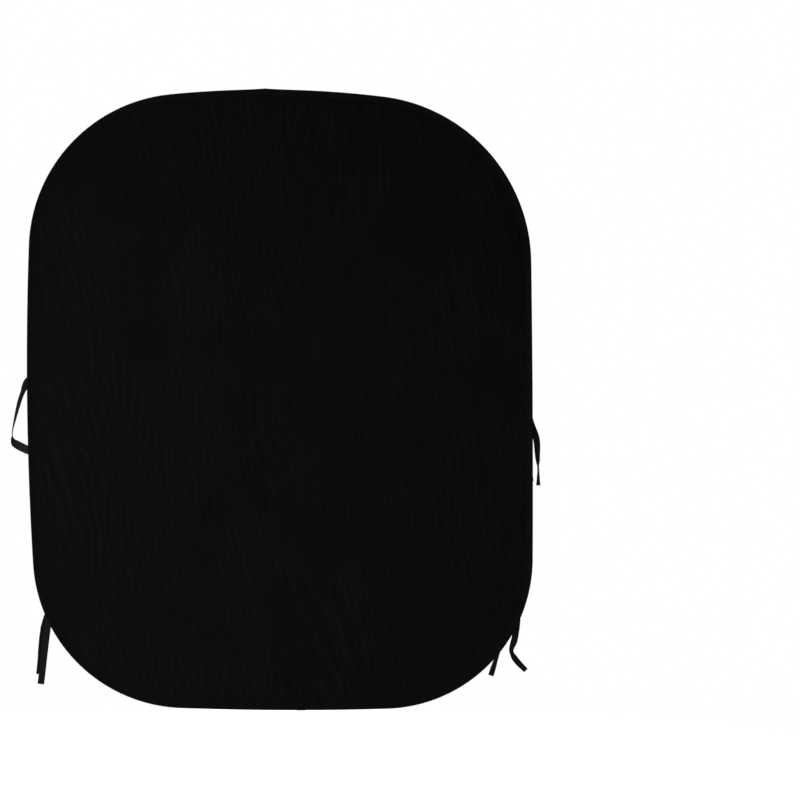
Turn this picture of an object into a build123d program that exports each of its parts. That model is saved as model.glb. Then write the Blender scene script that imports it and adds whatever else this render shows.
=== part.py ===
"""Collapsible backdrop panel: two cloths held taut inside a closed spring-steel hoop.

Millimetres. X points right as the black face is seen, +Y towards the grey face, +Z up.
The origin is the outer edge of the rim at the top, where a stand's clip grips the panel.
"""
from build123d import *
import os

os.makedirs("parts", exist_ok=True)

# Rim outline, about the panel's centre: a bowed rectangle with large rounded corners.
# Corners run clockwise from the top left, each with the bow of the side that starts there.
PANEL_CENTRE_Z = -918.5
RIM_TOP = -PANEL_CENTRE_Z
CORNERS = [(-724, 837), (737, 812), (745, -893), (-699, -890)]
SIDE_BOWS = [94, 8, 29, 38]
CORNER_RADII = [465, 500, 445, 455]

# Edge binding: a folded tape with a round-nosed pocket for the hoop and a flat sewn flange.
BINDING_WIDTH = 22
BINDING_THICKNESS = 0.8
POCKET_HALF_DEPTH = 5.2
POCKET_LENGTH = 5
FLANGE_START = 16
FLANGE_INNER_FACE = 0.8
FLANGE_OUTER_FACE = FLANGE_INNER_FACE + BINDING_THICKNESS
NOSE_RADIUS = 2.4
SEAM_INSET = 19
THREAD_WIDTH = 0.6
THREAD_HEIGHT = 0.4

# Cloths, back to back in the flange.
CLOTH_INSET = 8
CLOTH_THICKNESS = 0.65
CLOTH_GAP = 0.2

# Hoop and its splice.
HOOP_INSET = 2.2
HOOP_THICKNESS = 0.9
HOOP_WIDTH = 8
HOOP_END_GAP = 1.0
HOOP_MID = HOOP_INSET + HOOP_THICKNESS / 2
SPLICE_X = -45
SLEEVE_LENGTH = 60
SLEEVE_WALL = 0.3
SLEEVE_CLEARANCE = 0.2
WRAP_LENGTH = 84
WRAP_WALL = 0.25
RIVET_SPACING = 30
RIVET_RADIUS = 1.25
RIVET_HEAD_RADIUS = 2.2
RIVET_HEAD_HEIGHT = 0.2

# Tie tapes: each is folded in two, its fold caught in the flange and its two tails free.
TAPE_DEPTH = 1.6
TIE_FACE_Y = 7.5
TIE_ANCHOR_WIDTH = 18
TIE_ANCHOR_LENGTH = 26
TIE_ANCHOR_DEPTH = 1.9
TIE_ANCHOR_GAP = 0.2
TIE_ROLL_RADIUS = 2.6
TIE_ROLL_Y = 4.5
TIE_TACK_LENGTH = 16
TIE_TACK_WIDTH = 1.5
TIE_TACK_INSET = 17.2

# Where each tie's fold leaves the flange, its roll's span in x, and its tails.
# A tail is a list of level sections going down: x, height about the centre, width, depth.
TIES = {
    "upper_left": {
        "root": (-716, 516),
        "roll": (-708, -678),
        "inner_tail": [
            (-685, 508, 14, TAPE_DEPTH),
            (-677, 460, 19, TAPE_DEPTH),
            (-652, 318, 19, TAPE_DEPTH),
        ],
        "outer_tail": [
            (-701, 508, 14, TAPE_DEPTH),
            (-705, 440, 17, TAPE_DEPTH),
            (-707, 282, 19, TAPE_DEPTH),
        ],
    },
    "upper_right": {
        "root": (704, 530),
        "roll": (665, 696),
        "inner_tail": [
            (672, 522, 14, TAPE_DEPTH),
            (662, 480, 18, TAPE_DEPTH),
            (659, 430, 4, 17),
            (668, 340, 4, 17),
            (669, 312, 14, 4),
        ],
        "outer_tail": [
            (689, 522, 14, TAPE_DEPTH),
            (692, 470, 17, TAPE_DEPTH),
            (697, 298, 19, TAPE_DEPTH),
        ],
    },
    "middle_right": {
        "root": (726, -16),
        "roll": (709, 729),
        "inner_tail": [
            (716, -24, 14, TAPE_DEPTH),
            (722, -80, 18, TAPE_DEPTH),
            (743, -243, 18, TAPE_DEPTH),
        ],
        "outer_tail": [
            (731.5, -24, 14, TAPE_DEPTH),
            (746.5, -78, 20, TAPE_DEPTH),
            (758.5, -110, 20, TAPE_DEPTH),
            (764, -170, 15, 8),
            (766, -204, 5, 16),
            (766, -255, 14, 6),
        ],
    },
    "lower_left": {
        "root": (-691, -596),
        "roll": (-686, -664),
        "inner_tail": [
            (-680, -604, 15, TAPE_DEPTH),
            (-684, -640, 19, TAPE_DEPTH),
            (-710, -844, 20, TAPE_DEPTH),
        ],
        "outer_tail": [
            (-691.5, -604, 5, TAPE_DEPTH),
            (-696, -632, 4, 15),
            (-724, -815, 5, 17),
        ],
    },
    "lower_right": {
        "root": (712, -586),
        "roll": (681, 711),
        "inner_tail": [
            (688, -594, 14, TAPE_DEPTH),
            (668, -660, 18, TAPE_DEPTH),
            (643, -762, 13, 6),
            (625, -819, 17, TAPE_DEPTH),
        ],
        "outer_tail": [
            (704, -594, 14, TAPE_DEPTH),
            (706, -640, 15, TAPE_DEPTH),
            (695, -712, 20, TAPE_DEPTH),
            (687, -751, 13, 8),
            (695, -766, 22, 4),
            (729, -804, 15, TAPE_DEPTH),
        ],
    },
}

# Carry handle: a webbing loop beyond the left edge, hinged on a vertical line beside the rim.
HANDLE_HINGE_X = -753.5
HANDLE_HINGE_Y = 7.5
WEBBING_THICKNESS = 2.0
HANDLE_HINGE_GAP = 0.5
HANDLE_END_X = HANDLE_HINGE_X - HANDLE_HINGE_GAP
HANDLE_FACE_Y = HANDLE_HINGE_Y - WEBBING_THICKNESS / 2
# Leg outlines: x and height about the centre.
UPPER_LEG = [
    (HANDLE_END_X, 68),
    (-759, 52),
    (-773, 16),
    (-783, -33),
    (-787, -50),
    (-780, -50),
    (-777, -37),
    (-769, -7),
    (-759, 22),
    (HANDLE_END_X, 32),
]
LOWER_LEG = [(-797, -116), (HANDLE_END_X, -134), (HANDLE_END_X, -161), (-796, -138)]
# Grip sections, the strap edge-on: x, height, thickness, depth.
GRIP = [(-783.5, -44, 7, 14), (-793, -86, 2.5, 25), (-796, -103, 2.5, 25), (-795, -128, 3, 18)]
# The strap's sewn ends lie over the back of the binding: mid-height and strap width across.
HANDLE_ENDS = [(50, 34), (-147.5, 26)]
HANDLE_END_SEAT = 0.5
HANDLE_END_REACH = 36
HANDLE_END_BEND = 1
HANDLE_STITCH_MARGIN = 3
HANDLE_STITCH_START = 25
HANDLE_STITCH_END = 34

PANEL = Plane(origin=(0, 0, PANEL_CENTRE_Z), x_dir=(1, 0, 0), z_dir=(0, -1, 0))
TO_GREY = Vector(0, 1, 0)


def level(height):
    """A horizontal plane at a height about the panel's centre."""
    return Plane.XY.offset(PANEL_CENTRE_Z + height)


def finish(builder, name):
    """Label a finished piece and write it to its own file."""
    builder.part.label = name
    export_step(builder.part, f"parts/{name}.step")


# Rim outline

with BuildSketch() as rim_outline:
    with BuildLine():
        for i in range(4):
            start = Vector(*CORNERS[i])
            end = Vector(*CORNERS[(i + 1) % 4])
            outward = (end - start).normalized().rotate(Axis.Z, 90)
            ThreePointArc(start, (start + end) * 0.5 + outward * SIDE_BOWS[i], end)
    make_face()
    for corner, radius in zip(CORNERS, CORNER_RADII):
        nearest = rim_outline.vertices().sort_by_distance(Vector(*corner))[0]
        fillet(nearest, radius)

rim_arcs = rim_outline.edges()
rim_path = PANEL.location * rim_outline.face().outer_wire()


def outline(inset):
    """The face inside the rim's outline moved inwards by inset."""
    with BuildSketch() as moved:
        with BuildLine():
            for arc in rim_arcs:
                scale = 1 - inset / arc.radius
                ThreePointArc(*[arc.arc_center + (arc @ t - arc.arc_center) * scale for t in (0, 0.5, 1)])
        make_face()
    return moved.face()


def rim_frame(x, height):
    """The plane on the rim nearest to a point: X along the rim, Y to the grey side, Z inwards."""
    point = Vector(x, 0, PANEL_CENTRE_Z + height)
    arc = rim_path.edges().sort_by_distance(point)[0]
    inward = (arc.arc_center - point).normalized()
    origin = arc.arc_center - inward * arc.radius
    return Plane(origin=origin, x_dir=TO_GREY.cross(inward), z_dir=inward)


def across_rim(frame):
    """The plane across the rim at a frame: X inwards, Y to the grey side, Z along the rim."""
    return Plane(origin=frame.origin, x_dir=frame.z_dir, z_dir=frame.z_dir.cross(TO_GREY))


# Spring-steel hoop and the splice that closes it

band_centre = rim_frame(SPLICE_X, RIM_TOP).offset(HOOP_MID)

with BuildPart() as hoop_band:
    with BuildSketch(PANEL):
        add(outline(HOOP_INSET))
        add(outline(HOOP_INSET + HOOP_THICKNESS), mode=Mode.SUBTRACT)
    extrude(amount=HOOP_WIDTH / 2, both=True)
    with BuildSketch(band_centre):
        Rectangle(HOOP_END_GAP, 2 * HOOP_WIDTH)
        with GridLocations(RIVET_SPACING, 0, 2, 1):
            Circle(RIVET_RADIUS)
    extrude(amount=2 * HOOP_THICKNESS, both=True, mode=Mode.SUBTRACT)
finish(hoop_band, "hoop_band")

bore_width = HOOP_WIDTH + 2 * SLEEVE_CLEARANCE
bore_height = HOOP_THICKNESS + 2 * SLEEVE_CLEARANCE
sleeve_width = bore_width + 2 * SLEEVE_WALL
sleeve_height = bore_height + 2 * SLEEVE_WALL

with BuildPart(band_centre) as splice_sleeve:
    Box(SLEEVE_LENGTH, sleeve_width, sleeve_height)
    Box(SLEEVE_LENGTH, bore_width, bore_height, mode=Mode.SUBTRACT)
    with GridLocations(RIVET_SPACING, 0, 2, 1):
        Cylinder(RIVET_RADIUS, 2 * sleeve_height, mode=Mode.SUBTRACT)
finish(splice_sleeve, "splice_sleeve")

with BuildPart(band_centre) as splice_rivets:
    with GridLocations(RIVET_SPACING, 0, 2, 1):
        Cylinder(RIVET_RADIUS, sleeve_height)
    for side in (1, -1):
        head_height = side * (sleeve_height + RIVET_HEAD_HEIGHT) / 2
        with Locations((-RIVET_SPACING / 2, 0, head_height), (RIVET_SPACING / 2, 0, head_height)):
            Cylinder(RIVET_HEAD_RADIUS, RIVET_HEAD_HEIGHT)
finish(splice_rivets, "splice_rivets")

wrap_bore_height = sleeve_height + 2 * RIVET_HEAD_HEIGHT
with BuildPart(band_centre) as splice_wrap:
    Box(WRAP_LENGTH, sleeve_width + 2 * WRAP_WALL, wrap_bore_height + 2 * WRAP_WALL)
    Box(WRAP_LENGTH, sleeve_width, wrap_bore_height, mode=Mode.SUBTRACT)
finish(splice_wrap, "splice_wrap")

# Cloths

with BuildPart() as black_cloth:
    with BuildSketch(PANEL.offset(CLOTH_GAP / 2)):
        add(outline(CLOTH_INSET))
    extrude(amount=CLOTH_THICKNESS)
finish(black_cloth, "black_cloth")

with BuildPart() as grey_cloth:
    with BuildSketch(PANEL.offset(-CLOTH_GAP / 2)):
        add(outline(CLOTH_INSET))
    extrude(amount=-CLOTH_THICKNESS)
finish(grey_cloth, "grey_cloth")

# Edge binding, swept once round the rim, and its two lines of stitching

outer_half_depth = POCKET_HALF_DEPTH + BINDING_THICKNESS

rim_start = rim_frame((rim_path @ 0).X, (rim_path @ 0).Z - PANEL_CENTRE_Z)

with BuildPart() as edge_binding:
    with BuildSketch(across_rim(rim_start)) as binding_section:
        with BuildLine():
            Polyline(
                (BINDING_WIDTH, FLANGE_INNER_FACE),
                (BINDING_WIDTH, FLANGE_OUTER_FACE),
                (FLANGE_START, FLANGE_OUTER_FACE),
                (POCKET_LENGTH, outer_half_depth),
                (0, outer_half_depth),
                (0, -outer_half_depth),
                (POCKET_LENGTH, -outer_half_depth),
                (FLANGE_START, -FLANGE_OUTER_FACE),
                (BINDING_WIDTH, -FLANGE_OUTER_FACE),
                (BINDING_WIDTH, -FLANGE_INNER_FACE),
                (FLANGE_START, -FLANGE_INNER_FACE),
                (POCKET_LENGTH, -POCKET_HALF_DEPTH),
                (BINDING_THICKNESS, -POCKET_HALF_DEPTH),
                (BINDING_THICKNESS, POCKET_HALF_DEPTH),
                (POCKET_LENGTH, POCKET_HALF_DEPTH),
                (FLANGE_START, FLANGE_INNER_FACE),
                close=True,
            )
        make_face()
        fillet(binding_section.vertices().group_by(Axis.X)[0], NOSE_RADIUS)
    sweep(path=rim_path)
finish(edge_binding, "edge_binding")

for face_name, side in (("black", 1), ("grey", -1)):
    with BuildPart() as seam_thread:
        with BuildSketch(PANEL.offset(side * FLANGE_OUTER_FACE)):
            add(outline(SEAM_INSET - THREAD_WIDTH / 2))
            add(outline(SEAM_INSET + THREAD_WIDTH / 2), mode=Mode.SUBTRACT)
        extrude(amount=side * THREAD_HEIGHT)
    finish(seam_thread, f"seam_thread_{face_name}")

# Ties: the sewn fold of each tape, its bar tack and its two tails

grey_face_y = CLOTH_GAP / 2 + CLOTH_THICKNESS

for tie_name, tie in TIES.items():
    roll_start, roll_end = tie["roll"]
    with BuildPart() as tie_anchor:
        with BuildSketch(rim_frame(*tie["root"]).offset(BINDING_WIDTH + TIE_ANCHOR_GAP)):
            with Locations((0, grey_face_y + TIE_ANCHOR_DEPTH / 2)):
                Rectangle(TIE_ANCHOR_WIDTH, TIE_ANCHOR_DEPTH)
        extrude(amount=TIE_ANCHOR_LENGTH)
        roll_height = PANEL_CENTRE_Z + tie["inner_tail"][0][1]
        with BuildSketch(Plane.YZ.offset(roll_start)):
            with Locations((TIE_ROLL_Y, roll_height)):
                Circle(TIE_ROLL_RADIUS)
        extrude(amount=roll_end - roll_start)
    finish(tie_anchor, f"tie_{tie_name}_anchor")

    for tail_name in ("inner_tail", "outer_tail"):
        with BuildPart() as tie_tail:
            for x, height, width, depth in tie[tail_name]:
                with BuildSketch(level(height)):
                    with Locations((x, TIE_FACE_Y + depth / 2)):
                        Rectangle(width, depth)
            loft(ruled=True)
        finish(tie_tail, f"tie_{tie_name}_{tail_name}")

with BuildPart() as tie_bar_tacks:
    for tie in TIES.values():
        with BuildSketch(rim_frame(*tie["root"]).offset(TIE_TACK_INSET)):
            with Locations((0, FLANGE_OUTER_FACE + THREAD_HEIGHT / 2)):
                Rectangle(TIE_TACK_LENGTH, THREAD_HEIGHT)
        extrude(amount=TIE_TACK_WIDTH / 2, both=True)
finish(tie_bar_tacks, "tie_bar_tacks")

# Carry handle: its sewn ends, the free loop and the box stitches through the ends

with BuildPart() as handle_loop:
    for leg in (UPPER_LEG, LOWER_LEG):
        with BuildSketch(PANEL.offset(-HANDLE_FACE_Y)):
            with BuildLine():
                Polyline(*leg, close=True)
            make_face()
        extrude(amount=-WEBBING_THICKNESS)
    for x, height, width, depth in GRIP:
        with BuildSketch(level(height)):
            with Locations((x, HANDLE_HINGE_Y)):
                Rectangle(width, depth)
    loft(ruled=True)
finish(handle_loop, "handle_loop")

pocket_seat = outer_half_depth + HANDLE_END_SEAT
flange_seat = FLANGE_OUTER_FACE + HANDLE_END_SEAT
end_top = flange_seat + WEBBING_THICKNESS
end_profile = [
    (0, pocket_seat),
    (POCKET_LENGTH, pocket_seat),
    (FLANGE_START, flange_seat),
    (HANDLE_END_REACH, flange_seat),
    (HANDLE_END_REACH, end_top),
    (FLANGE_START + HANDLE_END_BEND, end_top),
    (POCKET_LENGTH + HANDLE_END_BEND, pocket_seat + WEBBING_THICKNESS),
    (0, pocket_seat + WEBBING_THICKNESS),
]
with BuildPart() as handle_ends:
    for height, width in HANDLE_ENDS:
        with BuildSketch(across_rim(rim_frame(HANDLE_HINGE_X, height))):
            with BuildLine():
                Polyline(*end_profile, close=True)
            make_face()
        extrude(amount=width / 2, both=True)
finish(handle_ends, "handle_ends")

with BuildPart() as handle_stitches:
    for height, width in HANDLE_ENDS:
        frame = rim_frame(HANDLE_HINGE_X, height)
        stitch_length = HANDLE_STITCH_END - HANDLE_STITCH_START
        middle = (HANDLE_STITCH_START + HANDLE_STITCH_END) / 2
        box = Plane(
            origin=frame.origin + frame.z_dir * middle + TO_GREY * end_top,
            x_dir=frame.x_dir,
            z_dir=TO_GREY,
        )
        with BuildSketch(box):
            Rectangle(width - 2 * HANDLE_STITCH_MARGIN, stitch_length)
            offset(amount=-THREAD_WIDTH, mode=Mode.SUBTRACT)
        extrude(amount=THREAD_HEIGHT)
finish(handle_stitches, "handle_stitches")
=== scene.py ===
"""Looks of the collapsible backdrop panel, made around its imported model.

Shapes are worked out in millimetres and become metres when a piece is made. X points right as
the black face is seen, +Y to the grey face and +Z up. Heights are about the panel's centre.
"Along" is the length round the rim, clockwise from the upper left corner, and "inset" is the
distance in from the rim.
"""
import math

import bmesh
import bpy
import numpy as np
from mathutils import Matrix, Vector


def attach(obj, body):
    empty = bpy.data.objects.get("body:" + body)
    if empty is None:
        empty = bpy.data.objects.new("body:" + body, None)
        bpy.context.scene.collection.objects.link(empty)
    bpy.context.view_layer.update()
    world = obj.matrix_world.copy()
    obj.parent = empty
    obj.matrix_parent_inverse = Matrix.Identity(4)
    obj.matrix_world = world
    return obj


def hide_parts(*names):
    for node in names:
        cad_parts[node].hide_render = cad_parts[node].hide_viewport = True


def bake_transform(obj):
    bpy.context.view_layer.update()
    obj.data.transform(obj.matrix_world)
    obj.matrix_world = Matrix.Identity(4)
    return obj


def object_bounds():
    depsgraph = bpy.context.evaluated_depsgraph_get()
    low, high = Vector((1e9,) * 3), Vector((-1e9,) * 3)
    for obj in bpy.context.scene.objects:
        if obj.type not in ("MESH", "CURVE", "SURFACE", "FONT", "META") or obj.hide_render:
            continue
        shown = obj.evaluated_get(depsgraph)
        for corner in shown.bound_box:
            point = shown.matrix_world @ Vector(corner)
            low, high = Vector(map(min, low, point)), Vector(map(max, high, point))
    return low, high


MM = 0.001

# Rim outline, the same driving dimensions as the model's.
PANEL_CENTRE_Z = -918.5
CORNERS = np.array([(-724, 837), (737, 812), (745, -893), (-699, -890)], float)
MIDDLE = CORNERS.mean(axis=0)
SIDE_BOWS = [94, 8, 29, 38]
CORNER_RADII = [465, 500, 445, 455]

# Edge binding
BINDING_WIDTH = 22
SEAM_INSET = 19
SPLICE_X = -45
LAP_X = 62
LAP_LENGTH = 24
LAP_MARGIN = 1.2
LAP_ROWS = 13
LAP_THICKNESS = 0.75
LAP_EMBEDDED = 0.15

# Stitches, as length, width and height, and where they lie
SEAM_STITCH = (3.9, 0.75, 0.42)
SEAM_PITCH = 4.4
SEAM_Y = 1.52
TACK_STITCH = (2.6, 0.6, 0.4)
TACK_REACH = 8
TACK_PITCH = 0.62
TACK_INSET = 16.4
TACK_Y = 1.95
TACK_LEAN = 0.3
BOX_STITCH = (2.6, 0.75, 0.4)
BOX_PITCH = 2.9

# Cloths
CLOTH_INSET = 8
CLOTH_FACE = 0.72
CLOTH_BACK = 0.1

# Ties: where each tape's fold leaves the flange, about the panel's centre.
TAPE_WIDTH = 20
TAPE_THICKNESS = 0.9
LAYER_PITCH = 1.1
TAIL_FACE_Y = 7.5
TIE_ROOTS = {
    "upper_left": (-716, 516),
    "upper_right": (704, 530),
    "middle_right": (726, -16),
    "lower_left": (-691, -596),
    "lower_right": (712, -586),
}
# Each tail as levels going down: height about the centre, and how far the tape is turned out of
# the panel's plane there, in degrees. Its place and width at a level come from its CAD solid.
TAIL_LEVELS = {
    "tie_upper_left_inner_tail": [(508, 0), (460, 8), (318, -14)],
    "tie_upper_left_outer_tail": [(508, 0), (440, 14), (282, 4)],
    "tie_upper_right_inner_tail": [(522, 0), (480, 14), (430, 76), (340, 100), (312, 138)],
    "tie_upper_right_outer_tail": [(522, 0), (470, 8), (298, -14)],
    "tie_middle_right_inner_tail": [(-24, 0), (-80, 10), (-243, -8)],
    "tie_middle_right_outer_tail": [
        (-24, 0), (-78, 0), (-110, 6), (-170, 42), (-204, 72), (-255, 50),
    ],
    "tie_lower_left_inner_tail": [(-604, 0), (-640, 0), (-844, 0)],
    "tie_lower_left_outer_tail": [(-604, 10), (-632, 54), (-815, 58)],
    "tie_lower_right_inner_tail": [(-594, 0), (-660, 10), (-762, 48), (-819, 12)],
    "tie_lower_right_outer_tail": [
        (-594, 0), (-640, 20), (-712, 6), (-751, 48), (-766, 24), (-804, 4),
    ],
}
# How far right of its CAD solid a tail hangs, to lie close behind the tie's other tail.
TAIL_SHIFTS = {"tie_lower_left_outer_tail": 5}
# A tail that is less deep than this lies flat, and its CAD solid gives its width.
FLAT_DEPTH = 1.7
LEVEL_TOLERANCE = 0.2
CUP_SHARE = 0.1
# From under the flange to its edge, as inset and y. Tapes whose tail hangs further in than the
# flange then turn straight down, and the rest double back over the flange first.
ROOT_STRETCH = ((14, 1.45), (20, 1.65), (24, 1.9))
TURN_RADIUS = 11
TURN_LEVELS = (12, 50, 90)
FOLDED_WIDTH = 17.5
HANG_Y = 8.0

# Carry handle.
STRAP_WIDTH = 25
STRAP_THICKNESS = 1.7
STRAP_CLEARANCE = 0.3
# The strap's centreline from one sewn end to the other, as x, height, y and how far the strap
# is turned edge-on, in degrees.
STRAP_PATH = [
    (-719, 66, 3.0, 0),
    (-731, 63, 3.1, 0),
    (-739, 59, 4.7, 0),
    (-747, 53, 7.2, 10),
    (-755, 42, 7.6, 38),
    (-763, 24, 7.6, 62),
    (-771, 3, 7.5, 67),
    (-778, -22, 7.5, 71),
    (-783.5, -44, 7.5, 77),
    (-789, -68, 7.5, 84),
    (-793.5, -88, 7.5, 90),
    (-795, -106, 7.5, 92),
    (-793.5, -119, 7.5, 68),
    (-787, -129, 7.5, 30),
    (-775, -137, 7.5, 10),
    (-763, -143, 7.6, 3),
    (-750, -149, 7.3, 0),
    (-741, -151, 4.9, 0),
    (-733, -152, 3.2, 0),
    (-718, -153, 3.0, 0),
]
# Each box of stitches on the handle: its middle, its slant and the part of the path it is on.
HANDLE_BOXES = [((-726.5, 64.2), 15, STRAP_PATH[:4]), ((-725.4, -152.5), -4, STRAP_PATH[-4:])]
HANDLE_BOX_HALF_SIZES = (6, 9.5)

# The outline is close to a superellipse of these half sizes and power.
HALF_WIDTH = 738
HALF_HEIGHT = 910
OUTLINE_POWER = 3.4

# The view: the panel fills the left of the frame, square on.
VIEW_WIDTH = 2371
VIEW_DISTANCE = 9000
VIEW_CENTRE = (355.5, -1.3)
SENSOR_WIDTH = 36
FILL_STRENGTH = 0.4
FLOOR_GLOW = 0.4
FLOOR_DROP = 420
FLOOR_RADIUS = 4200


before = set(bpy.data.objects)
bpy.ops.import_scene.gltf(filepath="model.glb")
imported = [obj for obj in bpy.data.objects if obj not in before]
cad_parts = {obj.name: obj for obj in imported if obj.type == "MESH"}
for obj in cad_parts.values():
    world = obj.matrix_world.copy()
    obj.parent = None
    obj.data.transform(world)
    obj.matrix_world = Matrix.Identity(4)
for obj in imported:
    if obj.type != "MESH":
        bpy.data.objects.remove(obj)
cad_low, cad_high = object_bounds()


# Rim outline


def side_circles():
    """Centre and radius of the circle that each bowed side lies on."""
    circles = []
    for start, end, bow in zip(CORNERS, np.roll(CORNERS, -1, axis=0), SIDE_BOWS):
        half = np.linalg.norm(end - start) / 2
        direction = (end - start) / (2 * half)
        outward = np.array([-direction[1], direction[0]])
        radius = (half**2 + bow**2) / (2 * bow)
        circles.append(((start + end) / 2 + outward * (bow - radius), radius))
    return circles


def corner_centre(before, after, radius, corner):
    """Centre of the rounding between two sides' circles."""
    (centre_a, radius_a), (centre_b, radius_b) = before, after
    gap = centre_b - centre_a
    reach = np.linalg.norm(gap)
    reach_a, reach_b = radius_a - radius, radius_b - radius
    foot = (reach_a**2 - reach_b**2 + reach**2) / (2 * reach)
    across = math.sqrt(reach_a**2 - foot**2)
    unit = gap / reach
    normal = np.array([-unit[1], unit[0]])
    both = [centre_a + unit * foot + normal * across * sign for sign in (1, -1)]
    return min(both, key=lambda centre: np.linalg.norm(centre - corner))


def clockwise_arc(centre, radius, start, end):
    """An arc as centre, radius, first angle and sweep, from two directions."""
    first = math.atan2(start[1], start[0])
    sweep = (first - math.atan2(end[1], end[0])) % (2 * math.pi)
    return centre, radius, first, sweep


def rim_arcs():
    """The eight arcs of the rim, clockwise from the start of the upper left corner."""
    sides = side_circles()
    centres = []
    for i in range(4):
        centres.append(corner_centre(sides[i - 1], sides[i], CORNER_RADII[i], CORNERS[i]))
    arcs = []
    for i in range(4):
        centre, following = centres[i], centres[(i + 1) % 4]
        before, (side_centre, side_radius) = sides[i - 1][0], sides[i]
        arcs.append(clockwise_arc(centre, CORNER_RADII[i], centre - before, centre - side_centre))
        arcs.append(
            clockwise_arc(side_centre, side_radius, centre - side_centre, following - side_centre)
        )
    return arcs


ARCS = rim_arcs()
ARC_CENTRES = np.array([arc[0] for arc in ARCS])
ARC_RADII = np.array([arc[1] for arc in ARCS])
ARC_STARTS = np.array([arc[2] for arc in ARCS])
ARC_LENGTHS = ARC_RADII * np.array([arc[3] for arc in ARCS])
ARC_ENDS = np.cumsum(ARC_LENGTHS)
RIM_LENGTH = ARC_ENDS[-1]
# Which of the arcs is the panel's left side.
LEFT_SIDE = 7


def rim(along):
    """Points on the rim, as x and height, and the inward directions there."""
    along = np.mod(along, RIM_LENGTH)
    arc = np.minimum(np.searchsorted(ARC_ENDS, along, side="right"), len(ARCS) - 1)
    travelled = along - (ARC_ENDS - ARC_LENGTHS)[arc]
    angle = ARC_STARTS[arc] - travelled / ARC_RADII[arc]
    outward = np.stack([np.cos(angle), np.sin(angle)], axis=-1)
    return ARC_CENTRES[arc] + outward * ARC_RADII[arc][..., None], -outward


RULER = np.arange(0, RIM_LENGTH, 0.5)
RULER_POINTS = rim(RULER)[0]


def along_at(x, height):
    """Length along the rim of the place nearest to a point."""
    return RULER[np.argmin(np.hypot(*(RULER_POINTS - (x, height)).T))]


def to_row(flat, y):
    """Points in the row frame from x and height, and y."""
    y = np.broadcast_to(y, flat.shape[:-1])
    return np.stack([flat[..., 0], y, flat[..., 1] + PANEL_CENTRE_Z], axis=-1)


def to_direction(flat):
    """Directions in the row frame from directions in x and height."""
    return np.stack([flat[..., 0], np.zeros(flat.shape[:-1]), flat[..., 1]], axis=-1)


def clockwise(inward):
    """Directions along the rim, from the inward directions there."""
    return np.stack([inward[..., 1], -inward[..., 0]], axis=-1)


def from_rim(along, inset, y):
    """Points in the row frame at lengths along the rim, insets from it and depths y."""
    edge, inward = rim(along)
    return to_row(edge + inward * np.asarray(inset)[..., None], y)


TIE_ALONG = {name: along_at(*root) for name, root in TIE_ROOTS.items()}
SPLICE_ALONG = along_at(SPLICE_X, -PANEL_CENTRE_Z)
LAP_ALONG = along_at(LAP_X, PANEL_CENTRE_Z)


# Shape helpers

# In a path's rows, the first three columns are the point, and the second of them is its y.
POINT_COLUMNS = 3
DEPTH_COLUMN = 1


def ease(value, low, high):
    """0 below low, 1 above high, smooth between."""
    share = np.clip((value - low) / (high - low), 0, 1)
    return share * share * (3 - 2 * share)


def rim_gap(along, place):
    """Signed distance along the rim from a place, the short way round."""
    return np.mod(along - place + RIM_LENGTH / 2, RIM_LENGTH) - RIM_LENGTH / 2


def bump(distance, reach):
    """A bell, 1 at no distance and small past reach."""
    return np.exp(-((distance / reach) ** 2))


def rim_noise(along, shortest, longest, seed, waves=22):
    """Smooth noise round the rim, mostly from -1 to 1, of wavelengths between two lengths."""
    random = np.random.default_rng(seed)
    lengths = np.geomspace(shortest, longest, waves) * random.uniform(0.93, 1.07, waves)
    counts = np.unique(np.round(RIM_LENGTH / lengths))
    phases = random.uniform(0, 2 * math.pi, len(counts))
    turns = 2 * math.pi * along[..., None] / RIM_LENGTH
    return np.sin(turns * counts + phases).sum(axis=-1) / math.sqrt(len(counts))


def travel(steps):
    """Distance travelled at each point, from the steps between points."""
    return np.concatenate([[0], np.cumsum(steps)])


def held_slopes(values, steps):
    """Slopes at each value that make a smooth curve with no overshoot between values."""
    rates = np.diff(values) / steps
    before, after = rates[:-1], rates[1:]
    same_way = before * after > 0
    sums = np.where(same_way, before + after, 1)
    middle = np.where(same_way, 2 * before * after / sums, 0)
    return np.concatenate([rates[:1], middle, rates[-1:]])


def smooth_path(rows, spacing):
    """Rows resampled evenly along a smooth curve, whose y and later columns don't overshoot."""
    rows = np.asarray(rows, float)
    steps = np.linalg.norm(np.diff(rows[:, :POINT_COLUMNS], axis=0), axis=1)
    knots = travel(steps)
    slopes = np.gradient(rows, knots, axis=0)
    for column in (DEPTH_COLUMN, *range(POINT_COLUMNS, rows.shape[1])):
        slopes[:, column] = held_slopes(rows[:, column], steps)
    at = np.linspace(0, knots[-1], max(4, int(knots[-1] / spacing)))
    span = np.clip(np.searchsorted(knots, at, side="right") - 1, 0, len(steps) - 1)
    step = steps[span][:, None]
    share = (at[:, None] - knots[span][:, None]) / step
    start, end = rows[span], rows[span + 1]
    rest = 1 - share
    from_start = start * (1 + 2 * share) * rest**2 + slopes[span] * step * share * rest**2
    from_end = end * share**2 * (3 - 2 * share) - slopes[span + 1] * step * share**2 * rest
    return from_start + from_end


def unit(vectors):
    return vectors / np.linalg.norm(vectors, axis=-1, keepdims=True)


# Making pieces

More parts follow.
